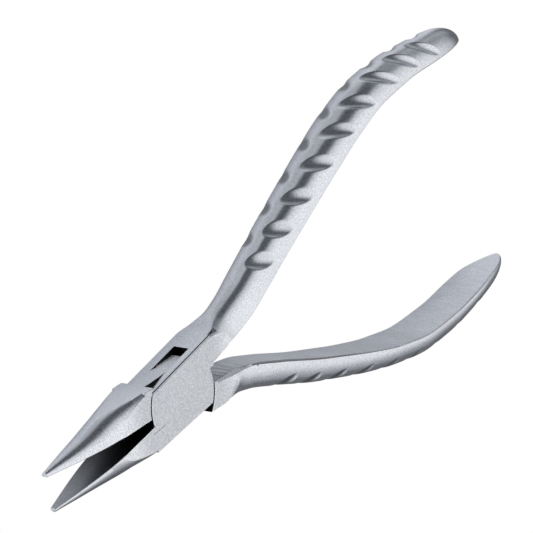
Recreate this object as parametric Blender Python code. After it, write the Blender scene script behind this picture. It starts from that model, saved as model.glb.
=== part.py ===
"""Box-joint chain-nose pliers: two forged steel halves and a flush pivot pin.

Frame (metres): origin where the pivot axis meets the underside of the joint,
+Z along the pivot axis, +X towards the handles, jaws towards -X, +Y towards
the handle of the outer half. Each half is designed about mid thickness in its
own closed position (jaw faces on y = 0), turned about the pivot by half of the
resting opening and lifted by half the joint's thickness. Dimensions below are
in millimetres.

Both halves are drawn with the handle at +y and the jaw at -y. `side` is OUTER
for the half that stays so and INNER for the one mirrored in y.
"""

import math

import bmesh
import bpy
import numpy as np

MM = 0.001
OUTER, INNER = 1, -1

# ---- overall (mm, degrees) ----
TIP_X = -33.5            # jaw tips
END_X = 99.6             # handle ends, closed position
REST_HALF_OPEN = 5.25    # each half is turned this far at rest
OVERRUN = 0.4            # the forging runs this far past its flat inner sides
CORNER_GAP = 0.02        # height left between the corners above and below
SMOOTH_ANGLE = 35        # sharper edges are shaded sharp

# ---- joint ----
BLOCK_X = 9.5            # the joint block reaches this far each way
GROUND_HALF = 3.6        # half thickness over the ground joint faces
GROUND_X = (-17.5, 17.0)
BOX_CORNER = 0.6         # corner break of the forged joint block
BOX_TOP = 5.4            # height of the joint block at the pivot, towards the handle
BOX_TOP_SLOPE = 0.028
BOX_TOP_SHARE = 0.2      # share of BLOCK_LIFT taken by that top
BLOCK_LIFT = 0.25        # the block's jaw side is offset by this towards +Y
TONGUE_DROP = 0.25       # the tongue lies this much below the jaw's back
CHEEK_R = 8.5            # radius of the cheek ends, about the pivot
SHOULDER_R = 8.8         # concave shoulders of the inner half
TONGUE_R = 7.3           # ends of the tongue
ARC_HEIGHT = 6.6         # the round ends reach this far from y = 0
TONGUE_ARC_STOP = 5.5    # where the tongue's end meets the handle, degrees
LIP = 0.35               # the cut along the handle starts this far past the round end
TONGUE_HALF = 1.55       # half thickness of the tongue
SLOT_HALF = 1.60         # half width of the slot
SLOT_X = 6.85            # end wall of the slot
SLOT_R = 7.5             # round relief inside the slot
PIN_R = 1.75
CHEEK_HOLE_R = 1.78
TONGUE_HOLE_R = 1.80

# ---- jaws and handles ----
JAW_CORNER = 1.0         # corner break where the block runs out into a jaw
JAW_BREAK = 0.12         # chamfer along the jaw face
EDGE_BREAK = 0.25        # chamfer along the flat inner side of a handle
BASE_BREAK = 1.0         # the same chamfer at the joint, before grinding
END_SPREAD = 1.0         # the inner half's handle end curls in less by this
HANDLE_SPREAD = 0.3      # and its handle bows out more by this

# exponents of the superelliptic corners; 1 is a straight chamfer, 2 an ellipse
CHAMFER = 1.0
BLOCK_POWER = 1.15
JAW_POWER = 2.05
HANDLE_POWER = 2.3       # at the joint end of the handle
GRIP_POWER = 2.05        # towards the handle end

# ---- finger scoops ----
SCOOPS = [               # (x of the centre, half length) of a full row
    (29.4, 3.35), (36.0, 3.35), (43.0, 3.6), (50.4, 3.8), (57.9, 4.0),
    (65.2, 4.0), (72.8, 4.1), (79.9, 3.8), (86.7, 3.6)]
SCOOP_ROWS = {           # (z side, shift in x, distance from ridge, length share, depth share)
    OUTER: ((1, 0.0, 3.15, 1.0, 1.0), (-1, 3.3, 2.3, 0.8, 0.6)),
    INNER: ((1, -0.6, 2.3, 1.0, 0.65), (-1, 3.3, 3.15, 1.0, 1.0))}
SCOOP_DEPTH = 0.62
SCOOP_HALF_WIDTH = 1.40
SCOOP_TAPER = 0.24       # a leaf narrows by this share towards its far end
LEAF_X, LEAF_ROUND = 0.70, 0.714    # a leaf's direction: along x, round the crown
SCOOPS_FROM_X = 20.0

# ---- mesh ----
TOP_STEPS = 12           # steps from ridge to side, handle side of a section
BOTTOM_STEPS = 5         # the same, jaw side
FIRST_STATIONS = [TIP_X, -31, -28, -25, -22, -19, -16.5, -14, -12, -10.5, -9.55,
                  -BLOCK_X, -6, -2, 2, 6, 9.45, 9.55]
HANDLE_START, HANDLE_STEP = 11.0, 1.4
END_SETBACKS = (6.0, 4.4, 3.0, 1.8, 0.9, 0.3, 0.04)    # last stations, back from END_X
PIN_SEGMENTS = 48        # also the pin holes
ROOM_SEGMENTS = 72
END_ARC_STEPS = 12
SLOT_ARC_STEPS = 6
HANDLE_CUT_STEPS = 44

# ---- how far the cutters reach beyond the steel ----
CLEAR = 12               # outlines, and the height of the grinding cuts
JAW_CLEAR_X = -40
END_CLEAR = 2            # past the handle end
END_CLEAR_SLOPE = 0.25
GRIND_Y = 14
FACE_Z, ROOM_Z, HOLE_Z = 20, 14, 15

# ---- forged outline, closed position: (x, value) ----
INNER_LINE = [           # y of the handle's inner side
    (9, 0.75), (14, 0.95), (20, 2.0), (27, 4.3), (35, 7.2), (44, 10.3),
    (53, 13.3), (62, 15.9), (71, 17.2), (79, 16.85), (87, 15.6), (99.6, 12.95)]
HANDLE_HEIGHT = [        # from the inner side to the ridge
    (11, 5.2), (14.5, 5.4), (20, 5.4), (27, 5.45), (35, 5.4), (44, 5.2),
    (53, 4.95), (62, 4.7), (71, 4.7), (79, 4.6), (87, 4.3), (99.6, 4.15)]
JAW_BACK = [             # depth of the jaw and the block below y = 0
    (-33.5, 0.73), (-24.6, 2.5), (-17, 4.2), (-12.5, 4.7), (-8.7, 5.0),
    (-3, 5.2), (4, 5.5), (10, 5.7)]
HALF_WIDTH = [           # in z
    (-33.5, 0.6), (-24.6, 2.6), (-20, 3.35), (-17, 3.6), (-14, 3.85), (-9, 4.05),
    (0, 4.05), (11, 4.05), (14, 3.75), (17, 3.5), (20, 3.6), (24, 3.85),
    (35, 4.1), (49, 4.5), (61, 4.8), (73, 4.65), (84, 4.4), (99.6, 4.2)]


# ---- curves ----
def monotone(table):
    """Shape-preserving cubic through the stations (no overshoot)."""
    xs, ys = np.array(table, float).T
    gaps = np.diff(xs)
    slopes = np.diff(ys) / gaps
    tangents = np.zeros(len(xs))
    tangents[0], tangents[-1] = slopes[0], slopes[-1]
    for i in range(1, len(xs) - 1):
        if slopes[i - 1] * slopes[i] > 0:
            before = 2 * gaps[i] + gaps[i - 1]
            after = gaps[i] + 2 * gaps[i - 1]
            tangents[i] = (before + after) / (before / slopes[i - 1] + after / slopes[i])

    def value(x):
        x = min(max(x, xs[0]), xs[-1])
        i = max(int(np.searchsorted(xs, x)) - 1, 0)
        t = (x - xs[i]) / gaps[i]
        return float((2 * t**3 - 3 * t**2 + 1) * ys[i]
                     + (t**3 - 2 * t**2 + t) * gaps[i] * tangents[i]
                     + (3 * t**2 - 2 * t**3) * ys[i + 1]
                     + (t**3 - t**2) * gaps[i] * tangents[i + 1])
    return value


inner_line = monotone(INNER_LINE)
handle_height = monotone(HANDLE_HEIGHT)
jaw_back = monotone(JAW_BACK)
half_width = monotone(HALF_WIDTH)


def smooth(start, stop, x):
    """Smooth step from 0 at start to 1 at stop."""
    t = min(max((x - start) / (stop - start), 0.0), 1.0)
    return t * t * (3 - 2 * t)


def mix(first, second, share):
    return first * (1.0 - share) + second * share


def handle_line(x, side):
    """Sweep of the handle."""
    bow = smooth(27.0, 40.0, x) - smooth(50.0, 66.0, x) if side == INNER else 0.0
    return inner_line(x) + HANDLE_SPREAD * bow


def flat_line(x, side):
    """Flat inner side of the handle."""
    spread = smooth(90.5, END_X, x) if side == INNER else 0.0
    return handle_line(x, side) + END_SPREAD * spread


def box_top(x, side):
    return BOX_TOP + BOX_TOP_SLOPE * x + BOX_TOP_SHARE * side * BLOCK_LIFT


def end_round(x, start, power):
    """Share of a size left where the handle end rounds off."""
    t = max(0.0, (x - start) / (END_X - start))
    return math.sqrt(1.0 - t**power)


# ---- sections: half width, then (y, corner z, corner y, exponent) above and below ----
def jaw_profile(x, side):
    """Flat face above, back below: crowned at the tip, block-like at the joint."""
    width = half_width(x)
    back = jaw_back(x) - side * BLOCK_LIFT * smooth(-24.0, -12.0, x)
    edge = JAW_BREAK + OVERRUN
    full = back - JAW_BREAK - CORNER_GAP
    share = smooth(-22.0, -8.5, x)
    corner = (mix(width, JAW_CORNER, share), mix(full, JAW_CORNER, share),
              mix(JAW_POWER, BLOCK_POWER, share))
    return width, (OVERRUN, edge, edge, CHAMFER), (-back, *corner)


def block_profile(x, side):
    corner = (BOX_CORNER, BOX_CORNER, BLOCK_POWER)
    bottom = side * BLOCK_LIFT - jaw_back(x)
    if side == INNER:
        bottom += TONGUE_DROP * smooth(-BLOCK_X, -5.0, x)
    return half_width(x), (box_top(x, side), *corner), (bottom, *corner)


def handle_profile(x, side):
    """Crowned back above, flat inner side below."""
    width = half_width(x) * end_round(x, 85.0, 2.0)
    flat = flat_line(x, side)
    ridge = mix(box_top(x, side), handle_line(x, side) + handle_height(x),
                smooth(10.5, 15.5, x))
    height = (ridge - flat) * end_round(x, 91.5, 2.4)
    edge = min(mix(BASE_BREAK, EDGE_BREAK, smooth(11.0, 22.0, x)), 0.3 * width, 0.2 * height)
    full = height - edge - CORNER_GAP
    share = smooth(10.0, 18.0, x)
    power = mix(HANDLE_POWER, GRIP_POWER, smooth(45.0, 75.0, x))
    top = (flat + height, mix(BOX_CORNER, width, share), mix(BOX_CORNER, full, share),
           mix(BLOCK_POWER, power, share))
    edge += OVERRUN
    return width, top, (flat - OVERRUN, min(edge, width), edge, CHAMFER)


def profile(x, side):
    if x < -BLOCK_X:
        return jaw_profile(x, side)
    if x < BLOCK_X:
        return block_profile(x, side)
    return handle_profile(x, side)


def cap(width, outline, facing, steps):
    """Points (y, z) from z = -width to +width; facing is 1 up, -1 down."""
    y, corner_z, corner_y, power = outline
    flat_share = 0.8 * (1.0 - corner_z / width) if width > corner_z else 0.0
    flat = width - corner_z
    half = []
    for i in range(steps + 1):
        u = i / steps
        if u < flat_share:
            half.append((y, flat * u / flat_share))
        else:
            t = (u - flat_share) / (1.0 - flat_share) * math.pi / 2
            half.append((y - facing * corner_y * (1 - math.cos(t)**(2 / power)),
                         flat + corner_z * math.sin(t)**(2 / power)))
    return [(y, -z) for y, z in reversed(half[1:])] + half


def scoop_depth(x, around, side):
    """Depth of the leaf-shaped scoops; around is the distance round the crown
    from its ridge, positive towards +Z."""
    depth = 0.0
    for z_side, shift, from_ridge, length_share, depth_share in SCOOP_ROWS[side]:
        for centre, half_length in SCOOPS:
            dx = x - centre - shift
            da = z_side * around - from_ridge
            along = (dx * LEAF_X + da * LEAF_ROUND) / (half_length * length_share)
            across = -dx * LEAF_ROUND + da * LEAF_X
            bowl = 1.0 - along * along
            if bowl <= 0:
                continue
            reach = SCOOP_HALF_WIDTH * bowl**0.5 * (1.0 - SCOOP_TAPER * along)
            if abs(across) < reach:
                hollow = bowl * (1.0 - (across / reach)**2)
                depth = max(depth, depth_share * SCOOP_DEPTH * hollow)
    return depth


def scooped(x, crown, side):
    """The crown's points, pushed in along its normal by the scoops."""
    distance = [0.0]
    for start, stop in zip(crown, crown[1:]):
        distance.append(distance[-1] + math.dist(start, stop))
    moved = []
    for i, (y, z) in enumerate(crown):
        depth = scoop_depth(x, distance[i] - distance[TOP_STEPS], side)
        before = crown[max(i - 1, 0)]
        after = crown[min(i + 1, len(crown) - 1)]
        dy, dz = after[0] - before[0], after[1] - before[1]
        length = math.hypot(dy, dz)
        moved.append((y - depth * dz / length, z + depth * dy / length))
    return moved


def section(x, side):
    """Closed ring of (x, y, z) round the forging."""
    width, top, bottom = profile(x, side)
    upper = cap(width, top, 1, TOP_STEPS)
    lower = cap(width, bottom, -1, BOTTOM_STEPS)
    if x > SCOOPS_FROM_X:
        upper = scooped(x, upper, side)
    return [(x, y, z) for y, z in upper + lower[::-1]]


# ---- solids ----
def skin(name, rings, side):
    """Solid through rings of points in mm, closed at both ends."""
    bm = bmesh.new()
    rings = [[bm.verts.new((x * MM, side * y * MM, z * MM)) for x, y, z in ring]
             for ring in rings]
    for a, b in zip(rings, rings[1:]):
        for i in range(len(a)):
            j = (i + 1) % len(a)
            bm.faces.new((a[i], a[j], b[j], b[i]))
    bm.faces.new(rings[0][::-1])
    bm.faces.new(rings[-1])
    bmesh.ops.recalc_face_normals(bm, faces=bm.faces)
    mesh = bpy.data.meshes.new(name)
    bm.to_mesh(mesh)
    bm.free()
    obj = bpy.data.objects.new(name, mesh)
    bpy.context.scene.collection.objects.link(obj)
    return obj


def prism(name, outline, z0, z1, side=OUTER):
    return skin(name, [[(x, y, z) for x, y in outline] for z in (z0, z1)], side)


def cut(half, feature, outline, z0, z1, side):
    """Subtract a prism, kept as a hidden helper of the half."""
    cutter = prism(f"{half.name}.{feature}", outline, z0, z1, side)
    cutter.hide_render = True
    cutter.display_type = "WIRE"
    cutter.parent = half
    mod = half.modifiers.new(cutter.name, "BOOLEAN")
    mod.operation = "DIFFERENCE"
    mod.solver = "EXACT"
    mod.object = cutter


# ---- cutter outlines ----
def arc(radius, start, stop, steps):
    angles = [math.radians(start + (stop - start) * i / steps) for i in range(steps + 1)]
    return [(radius * math.cos(angle), radius * math.sin(angle)) for angle in angles]


def circle(radius, segments=PIN_SEGMENTS):
    return arc(radius, 0, 360, segments)[:-1]


def jaw_side(radius):
    """Everything above the jaw face, outside the joint circle."""
    stop = 180 - math.degrees(math.asin(ARC_HEIGHT / radius))
    curve = arc(radius, 180, stop, END_ARC_STEPS)
    return [(JAW_CLEAR_X, CLEAR), (JAW_CLEAR_X, 0)] + curve + [(curve[-1][0], CLEAR)]


def handle_side(radius, side):
    """Everything below the handle's inner side, outside the joint circle."""
    first = radius + LIP
    line = []
    for i in range(HANDLE_CUT_STEPS + 1):
        x = first + (END_X + END_CLEAR - first) * (i / HANDLE_CUT_STEPS)
        past_end = max(x - END_X, 0.0)
        line.append((x, flat_line(min(x, END_X), side) - END_CLEAR_SLOPE * past_end))
    start = -math.degrees(math.asin(ARC_HEIGHT / radius))
    if side == OUTER:
        stop = math.degrees(math.asin(line[0][1] / radius))
    else:
        stop = TONGUE_ARC_STOP
    curve = arc(radius, start, stop, END_ARC_STEPS)
    return [(curve[0][0], -CLEAR)] + curve + line + [(END_X + END_CLEAR, -CLEAR)]


def slot_outline():
    """Two offset halves, each ending in a wall and a round relief."""
    angle = math.degrees(math.acos(SLOT_X / SLOT_R))
    outline = []
    for sign, turn in ((1, 0), (-1, 180)):
        outline += [(-sign * CLEAR, 0), (-sign * CLEAR, sign * CLEAR),
                    (sign * SLOT_X, sign * CLEAR)]
        outline += arc(SLOT_R, turn + angle, turn, SLOT_ARC_STEPS)
    return outline


# ---- pieces ----
def stations():
    xs = list(FIRST_STATIONS)
    x = HANDLE_START
    while x < END_X - END_SETBACKS[0]:
        xs.append(x)
        x += HANDLE_STEP
    return xs + [END_X - setback for setback in END_SETBACKS]


def build_forging(name, side, end_radius):
    """A half with its inner faces, round joint ends and ground flats cut."""
    half = skin(name, [section(x, side) for x in stations()], side)
    cut(half, "jaw_face_cutter", jaw_side(end_radius), -FACE_Z, FACE_Z, side)
    cut(half, "handle_face_cutter", handle_side(end_radius, side), -FACE_Z, FACE_Z, side)
    x0, x1 = GROUND_X
    flat = [(x0, -GRIND_Y), (x1, -GRIND_Y), (x1, GRIND_Y), (x0, GRIND_Y)]
    cut(half, "grind_cutter_top", flat, GROUND_HALF, CLEAR, side)
    cut(half, "grind_cutter_bottom", flat, -CLEAR, -GROUND_HALF, side)
    half.rotation_euler = (0, 0, math.radians(side * REST_HALF_OPEN))
    half.location = (0, 0, GROUND_HALF * MM)
    return half


def build_outer():
    """The half with two cheeks, slotted right through the block."""
    half = build_forging("outer_half", OUTER, CHEEK_R)
    cut(half, "slot_cutter", slot_outline(), -SLOT_HALF, SLOT_HALF, OUTER)
    cut(half, "pin_hole", circle(CHEEK_HOLE_R), -HOLE_Z, HOLE_Z, OUTER)
    return half


def build_inner():
    """The half with the tongue that lies between the cheeks."""
    half = build_forging("inner_half", INNER, TONGUE_R)
    room = circle(SHOULDER_R, ROOM_SEGMENTS)
    cut(half, "cheek_room_top", room, TONGUE_HALF, ROOM_Z, INNER)
    cut(half, "cheek_room_bottom", room, -ROOM_Z, -TONGUE_HALF, INNER)
    cut(half, "pin_hole", circle(TONGUE_HOLE_R), -HOLE_Z, HOLE_Z, INNER)
    return half


def build_pin():
    return prism("pivot_pin", circle(PIN_R), 0, 2 * GROUND_HALF)


def steel(name, colour, roughness):
    mat = bpy.data.materials.new(name)
    mat.use_nodes = True
    inputs = mat.node_tree.nodes["Principled BSDF"].inputs
    inputs["Base Color"].default_value = (*colour, 1)
    inputs["Metallic"].default_value = 1.0
    inputs["Roughness"].default_value = roughness
    return mat


def dress(obj, material):
    obj.data.materials.append(material)
    obj.data.shade_smooth()
    obj.data.set_sharp_from_angle(angle=math.radians(SMOOTH_ANGLE))


def main():
    for obj in list(bpy.data.objects):
        bpy.data.objects.remove(obj, do_unlink=True)
    dress(build_outer(),
          steel("satin_steel_outer", colour=(0.62, 0.63, 0.66), roughness=0.34))
    dress(build_inner(),
          steel("satin_steel_inner", colour=(0.60, 0.61, 0.64), roughness=0.34))
    dress(build_pin(), steel("pin_steel", colour=(0.64, 0.65, 0.67), roughness=0.30))


main()
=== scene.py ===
"""Looks of the box-joint chain-nose pliers: two forged halves with leaf-shaped
scoops in the handles, a ground pivot pin, a pale floor, a light tent and the camera.

The pliers lie along x with the pivot at the origin, the jaws towards -x and the
handles towards +x. The outer half has its handle at +y and its jaw at -y; the inner
half is the mirror case, so `side` is 1 for the outer half and -1 for the inner, and
the design's y is multiplied by it. Each half is modelled closed about z = 0, then
turned open and lifted so that its lower ground face lies at z = 0."""

import math

import bmesh
import bpy
import numpy as np
from mathutils import Matrix, Vector


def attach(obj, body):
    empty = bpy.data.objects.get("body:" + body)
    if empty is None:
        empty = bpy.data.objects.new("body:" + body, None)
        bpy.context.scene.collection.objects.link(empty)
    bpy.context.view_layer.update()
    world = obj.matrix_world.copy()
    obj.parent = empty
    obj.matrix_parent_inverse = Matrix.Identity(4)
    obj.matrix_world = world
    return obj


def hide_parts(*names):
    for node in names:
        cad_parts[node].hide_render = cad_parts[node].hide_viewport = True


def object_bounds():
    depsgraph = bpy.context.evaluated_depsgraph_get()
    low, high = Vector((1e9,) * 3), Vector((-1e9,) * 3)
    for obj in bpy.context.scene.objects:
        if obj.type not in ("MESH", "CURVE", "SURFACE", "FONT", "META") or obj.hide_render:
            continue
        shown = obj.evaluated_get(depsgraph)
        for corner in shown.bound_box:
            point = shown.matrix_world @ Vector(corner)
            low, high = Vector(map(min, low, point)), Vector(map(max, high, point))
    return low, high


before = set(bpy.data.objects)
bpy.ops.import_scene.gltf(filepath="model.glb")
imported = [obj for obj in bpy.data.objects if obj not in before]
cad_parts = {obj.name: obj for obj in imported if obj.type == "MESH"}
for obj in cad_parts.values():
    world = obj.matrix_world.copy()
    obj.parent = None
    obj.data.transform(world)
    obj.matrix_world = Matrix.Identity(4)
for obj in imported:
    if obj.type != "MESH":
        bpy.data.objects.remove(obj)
cad_low, cad_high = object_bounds()

MM = 0.001
OUTER, INNER = 1, -1

# ---- design values (mm, degrees)
TIP_X = -33.5
END_X = 99.6
JOINT_X = 9.5            # half length of the joint block
END_SPREAD = 1.0         # how far the inner half's flat side leaves its line at the end
HANDLE_SPREAD = 0.3      # the same along the middle of its handle
REST_HALF_OPEN = 5.25
GROUND_HALF = 3.6        # half thickness between the ground faces
BOX_CORNER = 0.6
BOX_POWER = 1.15         # exponent of the joint block's corners
JAW_CORNER = 1.0
CHEEK_R = 8.5            # outer half's arcs
SHOULDER_R = 8.8         # recess round the inner half's tongue
TONGUE_R = 7.3
TONGUE_HALF = 1.55
SLOT_HALF = 1.60
SLOT_X = 6.85
SLOT_R = 7.5
ARC_REACH_Y = 6.6        # where the arcs of cheeks and tongue stop
BOX_TOP = 5.4
BOX_SLOPE = 0.028
BLOCK_LIFT = 0.25
LIFT_SHARE = 0.2         # share of the lift that reaches the box top
TONGUE_DROP = 0.25
EDGE_BREAK = 0.25
BASE_BREAK = 1.0         # edge break of the handle at the joint
JAW_BREAK = 0.12
PIN_R = 1.78
TONGUE_HOLE_R = 1.80
RIM = 0.12               # broken edge round the cheeks and shoulders
OVERCUT = 0.4            # body left beyond the flat sides, for the cutters to take off
CORNER_GAP = 0.02        # least height between the corners of a section
END_ROUND = 6.0          # length of the finely stepped handle end
CROWN_STEPS, BASE_STEPS = 44, 7

# finger scoops of the z > 0 row: (x of the centre, half length)
SCOOPS = [(29.4, 3.35), (36.0, 3.35), (43.0, 3.6), (50.4, 3.8), (57.9, 4.0),
          (65.2, 4.0), (72.8, 4.1), (79.9, 3.8), (86.7, 3.6)]
SCOOP_DEPTH = 0.62
SCOOP_HALF_WIDTH = 1.40
SCOOP_REACH = 5.5        # no scoop acts further than this along x
# rows of each half: (sign of z, shift along x, distance from the ridge,
# share of length, share of depth)
SCOOP_ROWS = {
    OUTER: ((1, 0.0, 3.15, 1.0, 1.0), (-1, 3.3, 2.3, 0.8, 0.6)),
    INNER: ((1, -0.6, 2.3, 1.0, 0.65), (-1, 3.3, 3.15, 1.0, 1.0)),
}

# tables of (x, size): flat side of the handle, handle height above it,
# back of the jaw, half width along z
INNER_LINE = [(9, 0.75), (14, 0.95), (20, 2.0), (27, 4.3), (35, 7.2), (44, 10.3), (53, 13.3),
              (62, 15.9), (71, 17.2), (79, 16.85), (87, 15.6), (99.6, 12.95)]
HANDLE_HEIGHT = [(11, 5.2), (14.5, 5.4), (20, 5.4), (27, 5.45), (35, 5.4), (44, 5.2),
                 (53, 4.95), (62, 4.7), (71, 4.7), (79, 4.6), (87, 4.3), (99.6, 4.15)]
JAW_BACK = [(-33.5, 0.73), (-24.6, 2.5), (-17, 4.2), (-12.5, 4.7), (-8.7, 5.0), (-3, 5.2),
            (4, 5.5), (10, 5.7)]
HALF_WIDTH = [(-33.5, 0.6), (-24.6, 2.6), (-20, 3.35), (-17, 3.6), (-14, 3.85), (-9, 4.05),
              (0, 4.05), (11, 4.05), (14, 3.75), (17, 3.5), (20, 3.6), (24, 3.85), (35, 4.1),
              (49, 4.5), (61, 4.8), (73, 4.65), (84, 4.4), (99.6, 4.2)]


# ---- curves along the pliers

def monotone(table):
    """Cubic through the points that never overshoots them."""
    xs, ys = np.array(table, float).T
    step = np.diff(xs)
    rise = np.diff(ys) / step
    slope = np.zeros(len(xs))
    slope[0], slope[-1] = rise[0], rise[-1]
    for i in range(1, len(xs) - 1):
        if rise[i - 1] * rise[i] > 0:
            a, b = 2 * step[i] + step[i - 1], step[i] + 2 * step[i - 1]
            slope[i] = (a + b) / (a / rise[i - 1] + b / rise[i])

    def value(x):
        x = min(max(x, xs[0]), xs[-1])
        i = int(min(max(np.searchsorted(xs, x) - 1, 0), len(step) - 1))
        t = (x - xs[i]) / step[i]
        return float((2 * t**3 - 3 * t**2 + 1) * ys[i]
                     + (t**3 - 2 * t**2 + t) * step[i] * slope[i]
                     + (3 * t**2 - 2 * t**3) * ys[i + 1]
                     + (t**3 - t**2) * step[i] * slope[i + 1])
    return value


inner_line = monotone(INNER_LINE)
handle_height = monotone(HANDLE_HEIGHT)
jaw_back = monotone(JAW_BACK)
half_width = monotone(HALF_WIDTH)


def smooth(start, end, x):
    t = min(max((x - start) / (end - start), 0.0), 1.0)
    return t * t * (3 - 2 * t)


def handle_line(x, side):
    spread = smooth(27.0, 40.0, x) - smooth(50.0, 66.0, x)
    return inner_line(x) + (HANDLE_SPREAD * spread if side == INNER else 0.0)


def flat_line(x, side):
    """y of the handle's flat side."""
    return handle_line(x, side) + (END_SPREAD * smooth(90.5, END_X, x) if side == INNER else 0.0)


def box_top(x, side):
    return BOX_TOP + BOX_SLOPE * x + LIFT_SHARE * (side * BLOCK_LIFT)


def end_round(x, start, power):
    t = max(0.0, (x - start) / (END_X - start))
    return math.sqrt(max(0.0, 1.0 - t**power))


def edge_break(x):
    return EDGE_BREAK + (BASE_BREAK - EDGE_BREAK) * (1.0 - smooth(11.0, 22.0, x))


# ---- cross-sections: each end of a section is (y, corner z, corner y, exponent)

def jaw_ends(x, w, side):
    back = jaw_back(x) - side * BLOCK_LIFT * smooth(-24.0, -12.0, x)
    tip = 1.0 - smooth(-22.0, -8.5, x)
    edge = JAW_BREAK + OVERCUT
    full = max(back - JAW_BREAK - CORNER_GAP, 0.3)
    corner_z = min(JAW_CORNER, w) * (1.0 - tip) + w * tip
    corner_y = min(JAW_CORNER, full) * (1.0 - tip) + full * tip
    return (OVERCUT, edge, edge, 1.0), (-back, corner_z, corner_y, BOX_POWER + 0.9 * tip)


def joint_ends(x, side):
    corner = (BOX_CORNER, BOX_CORNER, BOX_POWER)
    drop = TONGUE_DROP * smooth(-JOINT_X, -5.0, x) if side == INNER else 0.0
    bottom = side * BLOCK_LIFT - jaw_back(x) + drop
    return (box_top(x, side),) + corner, (bottom,) + corner


def handle_ends(x, w, side):
    flat, box = flat_line(x, side), box_top(x, side)
    crown = handle_line(x, side) + handle_height(x)
    top = box + (crown - box) * smooth(10.5, 15.5, x)
    height = (top - flat) * end_round(x, 91.5, 2.4)
    edge = min(edge_break(x), 0.3 * w, 0.2 * height)
    full = height - edge - CORNER_GAP
    if x > END_X - END_ROUND:
        corner = (w, full, 2.05)
    else:
        blend = smooth(10.0, 18.0, x)
        corner = (BOX_CORNER + (w - BOX_CORNER) * blend, BOX_CORNER + (full - BOX_CORNER) * blend,
                  BOX_POWER + 1.15 * blend - 0.25 * smooth(45.0, 75.0, x))
    base = (flat - OVERCUT, min(edge + OVERCUT, w), edge + OVERCUT, 1.0)
    return (flat + height,) + corner, base


def profile(x, side):
    """Half width, then the end towards the handle's crown and the opposite end."""
    w = half_width(x) * end_round(x, 85.0, 2.0)
    if x < -JOINT_X:
        return (w,) + jaw_ends(x, w, side)
    if x < JOINT_X:
        return (w,) + joint_ends(x, side)
    return (w,) + handle_ends(x, w, side)


def scoop_depth(x, around, side):
    """Depth of the leaf-shaped scoops at a distance around the crown from its ridge."""
    depth = 0.0
    for z_sign, shift, from_ridge, length, share in SCOOP_ROWS[side]:
        for centre, half in SCOOPS:
            dx, da = x - centre - shift, z_sign * around - from_ridge
            if abs(dx) > SCOOP_REACH:
                continue
            along = (dx * 0.70 + da * 0.714) / (half * length)
            across = -dx * 0.714 + da * 0.70
            hollow = 1.0 - along * along
            if hollow > 0:
                wide = SCOOP_HALF_WIDTH * hollow**0.5 * (1.0 - 0.24 * along)
                if abs(across) < wide:
                    depth = max(depth, share * SCOOP_DEPTH * hollow * (1.0 - (across / wide)**2))
    return depth


def cap(w, y, corner_z, corner_y, power, count):
    """(y, z) points of one end of a section, from z = -w to z = w."""
    flat_share = 0.8 * (1.0 - corner_z / w) if w > corner_z else 0.0
    half = []
    for i in range(count + 1):
        u = i / count
        if u < flat_share:
            half.append((y, (w - corner_z) * u / flat_share))
        else:
            t = (u - flat_share) / (1.0 - flat_share) * math.pi / 2
            half.append((y - corner_y * (1 - math.cos(t)**(2 / power)),
                         (w - corner_z) + corner_z * math.sin(t)**(2 / power)))
    return [(y, -z) for y, z in reversed(half[1:])] + half


def lengths(points):
    """Running length along a line of points."""
    run = [0.0]
    for p, q in zip(points, points[1:]):
        run.append(run[-1] + math.hypot(q[0] - p[0], q[1] - p[1]))
    return run


def scooped(crown, x, side):
    run = lengths(crown)
    ridge = run[CROWN_STEPS]
    moved = []
    for i, (y, z) in enumerate(crown):
        depth = scoop_depth(x, run[i] - ridge, side)
        before, after = crown[max(i - 1, 0)], crown[min(i + 1, len(crown) - 1)]
        ty, tz = after[0] - before[0], after[1] - before[1]
        length = math.hypot(ty, tz) or 1.0
        moved.append((y - depth * tz / length, z + depth * ty / length))
    return moved


def section(x, side):
    w, top, (base_y, corner_z, corner_y, power) = profile(x, side)
    crown = cap(w, *top, CROWN_STEPS)
    if x > 20.0:
        crown = scooped(crown, x, side)
    base = cap(w, base_y, corner_z, -corner_y, power, BASE_STEPS)
    return [(x, y, z) for y, z in crown + base[::-1]]


# ---- meshes

def finish_mesh(bm, name):
    mesh = bpy.data.meshes.new(name)
    bm.to_mesh(mesh)
    bm.free()
    obj = bpy.data.objects.new(name, mesh)
    bpy.context.scene.collection.objects.link(obj)
    return obj


def skin(name, outlines, side, turned_end=0):
    """Closed solid through rings of (x, y, z); the cap of turned_end is wound in reverse."""
    bm = bmesh.new()
    rings = [[bm.verts.new((x * MM, side * y * MM, z * MM)) for x, y, z in outline]
             for outline in outlines]
    for a, b in zip(rings, rings[1:]):
        for i in range(len(a)):
            j = (i + 1) % len(a)
            bm.faces.new((a[i], a[j], b[j], b[i]))
    for end in (0, -1):
        bm.faces.new(rings[end][::-1] if end == turned_end else rings[end])
    bmesh.ops.recalc_face_normals(bm, faces=bm.faces)
    return finish_mesh(bm, name)


def stack(name, levels, side):
    """Solid through (z, outline of (x, y)) levels at rising heights."""
    return skin(name, [[(x, y, z) for x, y in outline] for z, outline in levels], side)


def groove(points, side):
    """Thin four-sided cutter along a line of (x, y, z, half width)."""
    corners = [math.pi / 4 + math.pi / 2 * k for k in range(4)]
    return skin("cutter", [[(x, y + r * math.cos(a), z + r * math.sin(a)) for a in corners]
                           for x, y, z, r in points], side)


def arc(r, start, end, steps):
    angles = [math.radians(start + (end - start) * i / steps) for i in range(steps + 1)]
    return [(r * math.cos(a), r * math.sin(a)) for a in angles]


def circle(r):
    return arc(r, 0, 360, 160)[:-1]


def bore(radius, side):
    return stack("cutter", [(-15, circle(radius)), (15, circle(radius))], side)


# ---- cutters of the halves

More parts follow.
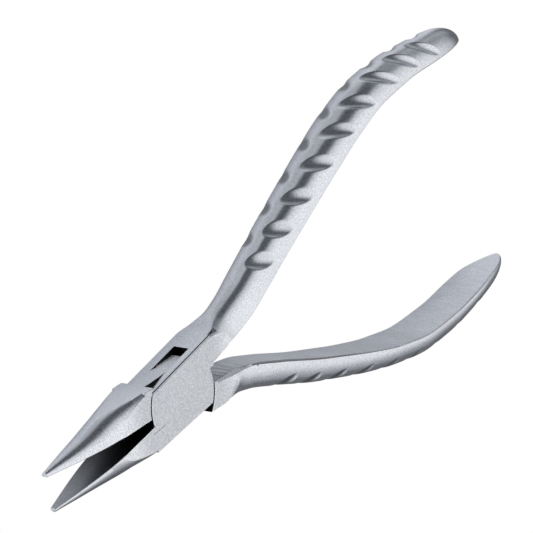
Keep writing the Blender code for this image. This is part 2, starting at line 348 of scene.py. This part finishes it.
def jaw_side(radius):
    """Outline of what is cut away beyond the jaw's face."""
    curve = arc(radius, 180, 180 - math.degrees(math.asin(ARC_REACH_Y / radius)), 48)
    return [(-40, 12), (-40, 0)] + curve + [(curve[-1][0], 12)]


def handle_side(radius, lip, side):
    """Outline of what is cut away beyond the handle's flat side, which starts at x = lip."""
    steps, stop_x = 260, END_X + 2
    line = []
    for i in range(steps + 1):
        x = lip + (stop_x - lip) * (i / steps)
        line.append((x, flat_line(x, side) - 0.25 * max(0.0, x - END_X)))
    start = -math.degrees(math.asin(ARC_REACH_Y / radius))
    stop = math.degrees(math.asin(0.75 / radius)) if side == OUTER else 5.5
    curve = arc(radius, start, stop, 48)
    return [(curve[0][0], -12)] + curve + line + [(stop_x, -12)]


def rimmed(shape, radius, rim):
    """Levels whose arc closes in by rim at both ground faces."""
    if rim == 0:
        return [(-20, shape(radius)), (20, shape(radius))]
    g = GROUND_HALF
    return [(-20, shape(radius - rim)), (-g, shape(radius - rim)), (-g + rim, shape(radius)),
            (g - rim, shape(radius)), (g, shape(radius - rim)), (20, shape(radius - rim))]


def common_cutters(side):
    radius, rim = (CHEEK_R, RIM) if side == OUTER else (TONGUE_R, 0)
    flat = [(-17.5, -14), (17.0, -14), (17.0, 14), (-17.5, 14)]
    return [stack("cutter", levels, side) for levels in (
        rimmed(jaw_side, radius, rim),
        rimmed(lambda r: handle_side(r, radius + 0.35, side), radius, rim),
        [(GROUND_HALF, flat), (12, flat)],
        [(-12, flat), (-GROUND_HALF, flat)])]


def outer_cutters(side):
    """Slot for the tongue, pin hole, groove beside the box top, crease by the jaw."""
    reach = math.sqrt(SLOT_R**2 - SLOT_X**2)
    angle = math.degrees(math.asin(reach / SLOT_R))
    slot = ([(-12, 0), (-12, 12), (SLOT_X, 12)] + arc(SLOT_R, angle, 0, 24)
            + [(12, 0), (12, -12), (-SLOT_X, -12)] + arc(SLOT_R, 180 + angle, 180, 24))
    # (x, rise over the box top, z, half width)
    top_line = [(-9.2, -0.01, 3.0, 0.22), (10.9, -0.01, 3.0, 0.22), (11.6, 0.0, 3.0, 0.28),
                (12.4, 0.1, 2.85, 0.42), (12.9, 0.3, 2.8, 0.03)]
    crease = [(-9.4, -1.08, GROUND_HALF, 0.12), (-6.5, -1.22, GROUND_HALF, 0.09),
              (-5.1, -1.3, GROUND_HALF + 0.01, 0.01)]
    return [stack("cutter", [(-SLOT_HALF, slot), (SLOT_HALF, slot)], side),
            bore(PIN_R, side),
            groove([(x, box_top(x, side) + rise, z, r) for x, rise, z, r in top_line], side),
            groove(crease, side)]


def inner_cutters(side):
    """Recesses either side of the tongue, its hole, and the nick along the handle's edge."""
    g, hole, wide = GROUND_HALF, circle(SHOULDER_R), circle(SHOULDER_R + RIM)
    nick = []
    for k in range(30):
        x = 18.0 + 1.5 * k
        r = (0.36 - 0.32 * smooth(26.0, 62.0, x)) * smooth(17.5, 23.0, x)
        inset = 0.5 * edge_break(x)
        nick.append((x, flat_line(x, side) + inset, half_width(x) - inset, r))
    return [stack("cutter", [(TONGUE_HALF, hole), (g - RIM, hole), (g, wide), (14, wide)], side),
            stack("cutter", [(-14, wide), (-g, wide), (-g + RIM, hole), (-TONGUE_HALF, hole)],
                  side),
            bore(TONGUE_HOLE_R, side),
            groove(nick, side)]


def cut_away(obj, cutters):
    """Subtract the cutters, keep the result as the object's mesh and delete them."""
    for cutter in cutters:
        mod = obj.modifiers.new(cutter.name, "BOOLEAN")
        mod.operation = "DIFFERENCE"
        mod.solver = "MANIFOLD"
        mod.object = cutter
    depsgraph = bpy.context.evaluated_depsgraph_get()
    mesh = bpy.data.meshes.new_from_object(obj.evaluated_get(depsgraph))
    obj.modifiers.clear()
    obj.data = mesh
    mesh.name = obj.name
    for cutter in cutters:
        bpy.data.objects.remove(cutter, do_unlink=True)


def build_half(name, side):
    stations = list(np.arange(TIP_X, -9.7, 0.3))
    stations += [-9.55, -9.5, -8, -6, -4, -2, 0, 2, 4, 6, 8, 9.45, 9.55]
    stations += list(np.arange(9.8, END_X - END_ROUND, 0.22))
    stations += [END_X - END_ROUND * (1 - math.sin(math.pi / 2 * i / 40)) - 0.045
                 for i in range(1, 41)]
    half = skin(name, [section(x, side) for x in stations], side, turned_end=-1)
    own_cutters = outer_cutters if side == OUTER else inner_cutters
    cut_away(half, common_cutters(side) + own_cutters(side))
    return half


# ---- materials (lengths in metres)

class Net:
    """Small helper for building node trees."""

    def __init__(self, tree):
        self.tree = tree
        tree.nodes.clear()

    def node(self, kind, inputs=None, **settings):
        node = self.tree.nodes.new(kind)
        for key, value in settings.items():
            setattr(node, key, value)
        for key, value in (inputs or {}).items():
            self.put(node.inputs[key], value)
        return node

    def put(self, socket, value):
        if isinstance(value, bpy.types.Node):
            value = value.outputs[0]
        if isinstance(value, bpy.types.NodeSocket):
            self.tree.links.new(value, socket)
        else:
            socket.default_value = value

    def math(self, op, a, b=0.0):
        return self.node("ShaderNodeMath", {0: a, 1: b}, operation=op).outputs[0]

    def dot(self, a, b):
        return self.node("ShaderNodeVectorMath", {0: a, 1: b},
                         operation="DOT_PRODUCT").outputs["Value"]

    def scale(self, vector, factor):
        return self.node("ShaderNodeVectorMath", {0: vector, "Scale": factor},
                         operation="SCALE").outputs[0]

    def ramp(self, value, span, to, kind="SMOOTHSTEP"):
        return self.node("ShaderNodeMapRange", {
            "Value": value, "From Min": span[0], "From Max": span[1],
            "To Min": to[0], "To Max": to[1]}, interpolation_type=kind).outputs["Result"]

    def vary(self, noise, below, above, middle=1.0):
        """Noise spread linearly about a middle value."""
        return self.ramp(noise, span=(0.3, 0.7), to=(middle - below, middle + above),
                         kind="LINEAR")

    def noise(self, vector, scale, detail, rough):
        return self.node("ShaderNodeTexNoise", {
            "Vector": vector, "Scale": scale, "Detail": detail,
            "Roughness": rough}).outputs["Fac"]


TINT = (0.70, 0.715, 0.75)


def steel(name, rough, streaks=None, grain=1.0, tone=1.0, throat_shade=False, faces=False,
          painted_shade=False):
    mat = bpy.data.materials.new(name)
    mat.use_nodes = True
    net = Net(mat.node_tree)
    coords = net.node("ShaderNodeTexCoord").outputs["Object"]
    fine = net.noise(coords, scale=4800, detail=2.0, rough=0.6)
    mid = net.noise(coords, scale=2600, detail=3.0, rough=0.6)
    broad = net.noise(coords, scale=160, detail=2.0, rough=0.5)
    value = net.vary(fine, below=0.21 * grain, above=0.21 * grain)
    value = net.math("MULTIPLY", value, net.vary(mid, below=0.05 * grain, above=0.05 * grain))
    value = net.math("MULTIPLY", value, net.vary(broad, below=0.02, above=0.02))
    height = net.math("ADD", net.math("MULTIPLY", fine, 0.5), mid)
    roughness = net.vary(mid, below=0.04, above=0.05, middle=rough)
    place = net.node("ShaderNodeSeparateXYZ", {0: coords})
    if faces:              # the ground faces run out into the blasted jaw and handle
        along = net.math("ABSOLUTE", place.outputs["X"])
        reach = net.ramp(along, span=(0.0100, 0.0150), to=(0.16, 0.0))
        roughness = net.math("ADD", roughness, reach)
        value = net.math("MULTIPLY", value, net.math("SUBTRACT", 1.0, reach))
    if streaks:
        turned = net.node("ShaderNodeMapping", {
            "Vector": coords, "Rotation": (0, math.radians(streaks["angle"]), 0),
            "Scale": (1.0, 1.0, 0.05)}).outputs[0]
        streak = net.noise(turned, scale=streaks["scale"], detail=3.0, rough=0.7)
        depth = streaks["depth"]
        value = net.math("MULTIPLY", value, net.vary(streak, below=depth, above=depth))
        if not faces:      # coarser and darker towards the joint
            coarse = net.noise(turned, scale=streaks["scale"] * 0.45, detail=2.0, rough=0.6)
            coarse = net.ramp(coarse, span=(0.35, 0.65), to=(0.62, 1.25))
            base = net.ramp(place.outputs["X"], span=(0.010, 0.030), to=(1.0, 0.0))
            darker = net.math("MULTIPLY", coarse, 0.56)
            value = net.math("MULTIPLY", value,
                             net.node("ShaderNodeMix", {0: base, 2: 1.0, 3: darker}))
        height = net.math("ADD", net.math("MULTIPLY", height, 0.4),
                          net.math("MULTIPLY", streak, 1.6))
    # brighter edges where the rounded normal leaves the true one: partly wear, partly painted
    # highlight
    edge = net.node("ShaderNodeBevel", {"Radius": 0.00012}, samples=6)
    true_normal = net.node("ShaderNodeNewGeometry").outputs["Normal"]
    same = net.dot(edge, true_normal)
    out = net.math("SQRT", net.math("ADD", net.math("POWER", place.outputs["X"], 2.0),
                                    net.math("POWER", place.outputs["Y"], 2.0)))
    # no wear or painted edge highlight at the pin, whose ends are ground away into the cheeks
    away = net.ramp(out, span=(0.0022, 0.0030), to=(0.0, 1.0))
    wear_and_highlight = net.math("MULTIPLY", net.ramp(same, span=(0.90, 0.998), to=(1.0, 0.0)), away)
    rounded = net.node("ShaderNodeMix", {0: 0.0 if faces else away, 4: true_normal, 5: edge},
                       data_type="VECTOR")
    brighter = net.math("ADD", 1.0, net.math("MULTIPLY", wear_and_highlight, 0.45))
    value = net.math("MULTIPLY", value, brighter)
    value = net.math("MULTIPLY", value, tone)
    if painted_shade:           # painted shade in the scoops and a painted darker reflection on the outer half's jaw, see shade_scoops
        recess = net.node("ShaderNodeAttribute", attribute_name="recess").outputs["Fac"]
        value = net.math("MULTIPLY", value, net.ramp(recess, span=(0.02, 0.50), to=(1.0, 0.40)))
    if throat_shade:             # painted shade, near black deep between the jaws
        value = net.math("MULTIPLY", value, net.ramp(out, span=(0.0135, 0.030), to=(0.015, 0.62)))
    bump = net.node("ShaderNodeBump", {
        "Strength": 0.11 * grain, "Distance": 0.00004, "Height": height,
        "Normal": rounded.outputs[1]})
    bsdf = net.node("ShaderNodeBsdfPrincipled", {
        "Base Color": net.scale(TINT, value), "Metallic": 1.0, "Roughness": roughness,
        "Normal": bump})
    net.node("ShaderNodeOutputMaterial", {"Surface": bsdf})
    return mat


# slots of both halves, in this order
BLASTED, GROUND, LINED, JOINT_SHADE, JAW_FACE, CREASED, PAINTED_LIGHT = range(7)
STEELS = (
    steel("satin_blasted_steel", rough=0.22, painted_shade=True),
    steel("ground_joint_steel", rough=0.22, streaks=dict(angle=52, scale=3600, depth=0.09),
          grain=1.15, faces=True),
    steel("ground_handle_steel", rough=0.34, streaks=dict(angle=38, scale=5200, depth=0.13)),
    # near black: painted shade on the slot's walls, the tongue's flanks and the walls round the
    # tongue
    steel("painted_shade_joint_steel", rough=0.55, tone=0.03),
    steel("ground_jaw_steel", rough=0.34, grain=0.9, throat_shade=True),
    steel("shadowed_crease_steel", rough=0.45, tone=0.33),
    # brighter: painted highlight on the box top's chamfer and painted light on the tongue deep in
    # the window
    steel("painted_light_steel", rough=0.60, tone=1.36),
)


def shade_scoops(mesh, side):
    """Vertex value from 0 to 1 for how much painted shade the blasted surface gets: painted
    shade by depth in the scoops (on the outer half only those at z <= 0), and a painted
    darker reflection on the outer half's jaw."""
    tables = {}
    values = np.zeros(len(mesh.vertices), np.float32)
    for i, v in enumerate(mesh.vertices):
        x, y, z = v.co.x / MM, side * v.co.y / MM, v.co.z / MM
        if x < -11.0 and side == OUTER and y < -0.2:       # painted darker reflection, darker towards the tip
            values[i] = 0.26 * (1.0 - smooth(-19.0, -11.0, x))
        if x < 22.0 or x > 93.0 or y < flat_line(x, side) + 1.2 or (z > 0 and side == OUTER):
            continue
        key = round(x)
        if key not in tables:
            w, top, _ = profile(key, side)
            half = cap(w, *top, 24)[24:]
            tables[key] = ([z for y, z in half], lengths(half))
        around = float(np.interp(abs(z), *tables[key])) * (1.0 if z > 0 else -1.0)
        # painted shade, deeper where the scoop is deeper
        values[i] = scoop_depth(x, around, side) / SCOOP_DEPTH
    mesh.attributes.new("recess", "FLOAT", "POINT").data.foreach_set("value", values)


def near(values, target, within):
    return np.abs(values - target) < within


def between(values, low, high):
    return (values > low) & (values < high)


def smooth_shade(mesh):
    mesh.shade_smooth()
    mesh.set_sharp_from_angle(angle=math.radians(28))


def classify(obj, side):
    """Material of each face from where it is and which way it faces."""
    mesh = obj.data
    mesh.materials.clear()
    for mat in STEELS:
        mesh.materials.append(mat)
    count = len(mesh.polygons)
    centres, normals = np.zeros(count * 3), np.zeros(count * 3)
    mesh.polygons.foreach_get("center", centres)
    mesh.polygons.foreach_get("normal", normals)
    x, y, z = (centres.reshape(-1, 3) / MM).T
    nx, ny, nz = normals.reshape(-1, 3).T
    y, ny = side * y, side * ny
    off_mid, facing_z = np.abs(z), np.abs(nz)
    radius = np.hypot(x, y)
    radial = np.abs(x * nx + y * ny) / np.maximum(radius, 1e-6)
    barrel = (facing_z < 0.4) & (radial > 0.85)
    flat = np.array([flat_line(p, side) for p in x])

    index = np.zeros(count, np.int32)
    index[(facing_z > 0.99) & near(off_mid, GROUND_HALF, 0.02)] = GROUND
    index[(x > 8.9) & (ny < -0.7) & near(y, flat, 0.15)] = LINED
    index[(x < -8.0) & near(y, 0.0, 0.05) & (ny > 0.9)] = JAW_FACE
    if side == INNER:
        # painted shade, near black, on the tongue's flanks and on the walls round it and round
        # its end
        flank = near(off_mid, TONGUE_HALF, 0.02) & (facing_z > 0.9)
        index[flank & (radius < SHOULDER_R + 0.1)] = JOINT_SHADE
        for wall in (SHOULDER_R, TONGUE_R):
            index[barrel & near(radius, wall, 0.1)] = JOINT_SHADE
        # nick along the handle's edge
        inset = 0.5 * np.array([edge_break(p) for p in x])
        width = np.array([half_width(p) for p in x])
        reach = np.array([0.33 - 0.27 * smooth(28.0, 62.0, p) for p in x])
        nick = np.hypot(y - flat - inset, z - width + inset) < reach
        index[between(x, 20.0, 60.0) & nick] = CREASED
        # painted light on what shows of the tongue in the window, which lies deep in shade there
        index[(x > 1.0) & (radius < 8.6) & (off_mid < TONGUE_HALF + 0.01)
              & (facing_z < 0.7) & (y < -3.5)] = PAINTED_LIGHT
    else:
        # painted shade, near black, on the slot's walls and ends and on the cheeks' end arcs
        flank = near(off_mid, SLOT_HALF, 0.02) & (facing_z > 0.9)
        index[flank & (radius < 11)] = JOINT_SHADE
        index[barrel & near(radius, CHEEK_R, 0.1) & (off_mid < GROUND_HALF - RIM)] = JOINT_SHADE
        index[(off_mid < SLOT_HALF + 0.01) & (radius < 11) & (np.abs(ny) < 0.9)
              & (index == BLASTED)] = JOINT_SHADE
        # painted highlight on the chamfer of the box top, then painted shade in the groove beside
        # it
        index[between(nz, 0.3, 0.97) & (ny > 0.3) & (z > 3.1) & between(x, -9.3, 11.0)
              & (index == BLASTED)] = PAINTED_LIGHT
        rise = y - box_top(x, side)
        index[near(x, 12.1, 1.0) & near(z, 2.9, 0.35) & near(rise, 0.0, 0.4)
              & (index < JOINT_SHADE)] = CREASED
        index[between(x, -9.4, 11.5) & near(z, 3.0, 0.2) & between(rise, -0.5, -0.02)
              & (index < JOINT_SHADE)] = CREASED
    index[between(x, -9.3, -5.0) & near(y, -1.19, 0.25) & between(z, 3.4, 3.595)
          & (index == BLASTED)] = CREASED
    mesh.polygons.foreach_set("material_index", index)
    shade_scoops(mesh, side)
    smooth_shade(mesh)


# ---- the pliers

outer = build_half("outer_half_forging", OUTER)
inner = build_half("inner_half_forging", INNER)
classify(outer, OUTER)
classify(inner, INNER)
pin = stack("ground_pivot_pin", [(-GROUND_HALF, circle(PIN_R)), (GROUND_HALF, circle(PIN_R))],
            OUTER)
pin.data.materials.append(STEELS[GROUND])
smooth_shade(pin.data)
for obj, side in ((outer, OUTER), (inner, INNER), (pin, OUTER)):
    obj.data.transform(Matrix.Translation((0, 0, GROUND_HALF * MM))
                       @ Matrix.Rotation(math.radians(side * REST_HALF_OPEN), 4, "Z"))

for obj, moving_part, cad_piece, slot in (
        (outer, "outer_half", "outer_half", "outer_half_steel"),
        (inner, "inner_half", "inner_half", "inner_half_steel"),
        (pin, "outer_half", "pivot_pin", "pin_steel")):
    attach(obj, moving_part)
    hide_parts(cad_piece)

# ---- studio: a light tent square to a tilted axis

TENT_UP = (0.182, -0.287, 0.941)
GAP_GLOW = 0.11                                        # dim gap between table and soft box
SKY = (((0.22, 0.66), 0.74), ((0.60, 0.90), 0.24))     # soft box: (span of height, gain)
TABLE_EDGE = (-0.45, -0.20)                            # the table fades over these heights
# round patches: cosines of the angle to the direction where each starts and is full
WINDOW = dict(direction=(0.87, 0.48, 0.10), span=(0.86, 0.99), gain=0.26)    # brightens
FLAG = dict(direction=(0.57, -0.81, 0.09), span=(0.84, 0.98), gain=0.50)     # dims the tent
CORNER = dict(direction=(0.24, 0.90, -0.32), span=(0.90, 0.99), gain=0.35)   # dims the table
FLOOR_HALF, FLOOR_GAP = 3.0, 0.0002                    # metres

scene = bpy.context.scene


def patch(net, ray, direction, span, gain):
    toward = tuple(Vector(direction).normalized())
    return net.ramp(net.dot(ray, toward), span, to=(0.0, gain))


def white_to_camera(net, shader, glow_kind, output_kind):
    """Output the shader, but plain white where the camera sees it directly."""
    seen = net.node("ShaderNodeLightPath").outputs["Is Camera Ray"]
    white = net.node(glow_kind, {"Color": (1, 1, 1, 1), "Strength": 1.0})
    mix = net.node("ShaderNodeMixShader", {0: seen, 1: shader, 2: white})
    net.node(output_kind, {"Surface": mix})


def pale_floor():
    mat = bpy.data.materials.new("pale_floor")
    mat.use_nodes = True
    net = Net(mat.node_tree)
    # Seen in reflections, the floor carries painted shade and painted light that depend on the
    # ray's direction, and a faint painted glow; the camera sees it plain white.
    ray = net.scale(net.node("ShaderNodeNewGeometry").outputs["Incoming"], -1.0)
    shade = net.ramp(net.dot(ray, TENT_UP), span=TABLE_EDGE, to=(1.0, 0.2))
    shade = net.math("MULTIPLY", shade, net.math("SUBTRACT", 1.0, patch(net, ray, **CORNER)))
    window = net.math("MULTIPLY", 1.7, patch(net, ray, **WINDOW))
    shade = net.math("MAXIMUM", shade, net.math("ADD", 0.15, window))
    tone = net.scale((0.88, 0.90, 0.94), shade)
    cloth = net.node("ShaderNodeBsdfDiffuse", {"Color": tone})
    painted_glow = net.node("ShaderNodeEmission", {"Color": tone, "Strength": 0.14})
    paper = net.node("ShaderNodeAddShader", {0: cloth, 1: painted_glow})
    white_to_camera(net, paper, "ShaderNodeEmission", "ShaderNodeOutputMaterial")
    return mat


def studio_floor():
    bm = bmesh.new()
    z = cad_low.z - FLOOR_GAP
    bm.faces.new([bm.verts.new((x * FLOOR_HALF, y * FLOOR_HALF, z))
                  for x, y in ((-1, -1), (1, -1), (1, 1), (-1, 1))])
    obj = finish_mesh(bm, "studio_floor")
    obj.data.materials.append(pale_floor())


def studio_world():
    world = bpy.data.worlds.new("studio")
    scene.world = world
    world.use_nodes = True
    net = Net(world.node_tree)
    ray = net.node("ShaderNodeTexCoord").outputs["Generated"]
    height = net.dot(ray, TENT_UP)
    total = GAP_GLOW
    for span, gain in SKY:
        total = net.math("ADD", total, net.ramp(height, span, to=(0.0, gain)))
    total = net.math("ADD", total, patch(net, ray, **WINDOW))
    total = net.math("MULTIPLY", total, net.math("SUBTRACT", 1.0, patch(net, ray, **FLAG)))
    # bluish where dim, nearly white where bright
    tone = net.node("ShaderNodeMix", {
        0: net.ramp(total, span=(0.1, 0.8), to=(0.0, 1.0)),
        6: (0.90, 0.95, 1.06, 1), 7: (0.985, 0.99, 1.0, 1)}, data_type="RGBA")
    light = net.node("ShaderNodeBackground", {"Color": tone.outputs[2], "Strength": total})
    white_to_camera(net, light, "ShaderNodeBackground", "ShaderNodeOutputWorld")


def add_camera():
    camera = bpy.data.cameras.new("camera")
    camera.lens, camera.sensor_width = 271.859, 36.0
    camera.shift_x, camera.shift_y = 0.183115, 0.241030
    camera.clip_start, camera.clip_end = 0.01, 50.0
    eye = bpy.data.objects.new("camera", camera)
    scene.collection.objects.link(eye)
    eye.matrix_world = Matrix((
        (0.5912252, -0.2093729, 0.7788554, 0),      # the camera's right
        (0.4812302, 0.8665448, -0.1323538, 0),      # its up
        (-0.6472018, 0.4530597, 0.6130797, 0),      # its back
        (-0.447556, 0.313640, 0.424417 + GROUND_HALF * MM, 1))).transposed()
    scene.camera = eye


studio_floor()
studio_world()
add_camera()
scene.view_settings.view_transform = "Standard"
